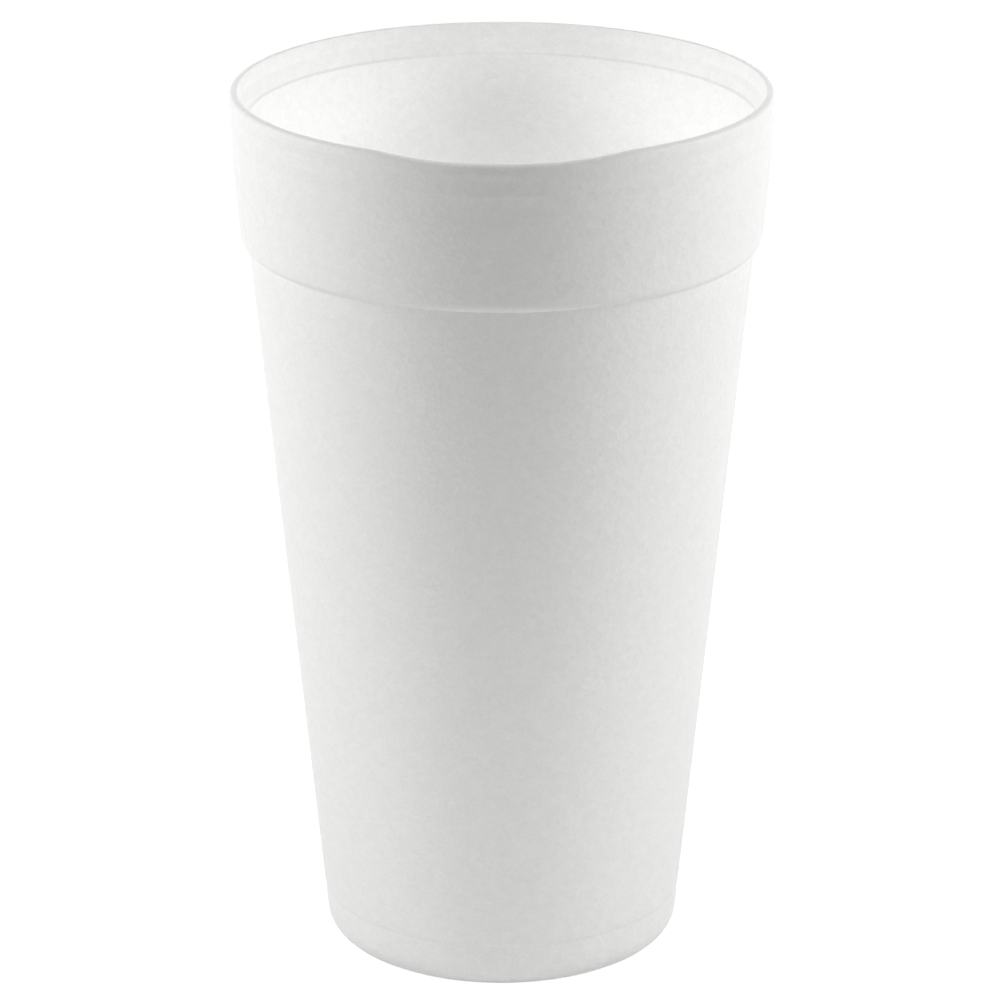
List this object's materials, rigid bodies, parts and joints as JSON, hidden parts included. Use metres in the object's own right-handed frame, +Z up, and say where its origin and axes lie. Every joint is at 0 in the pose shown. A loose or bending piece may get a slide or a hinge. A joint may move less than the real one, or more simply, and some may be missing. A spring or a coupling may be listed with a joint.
{
  "type": "foam cup",
  "caption": "Tall tapered drinking cup moulded in one piece from white expanded polystyrene foam, with a slim lip, a raised collar below it and a plain foot.",
  "frame": {"origin": "middle of the foot, on the surface that the cup stands on", "axes": "+Z up along the cup's axis, out of its mouth; the cup is round, so X and Y are any two level directions"},
  "size_m": [0.094, 0.094, 0.156],
  "materials": {
    "foam": "moulded bead foam with a smooth, slightly satin skin"
  },
  "bodies": {
    "root": {"foam_cup": "foam"}
  },
  "joints": []
}
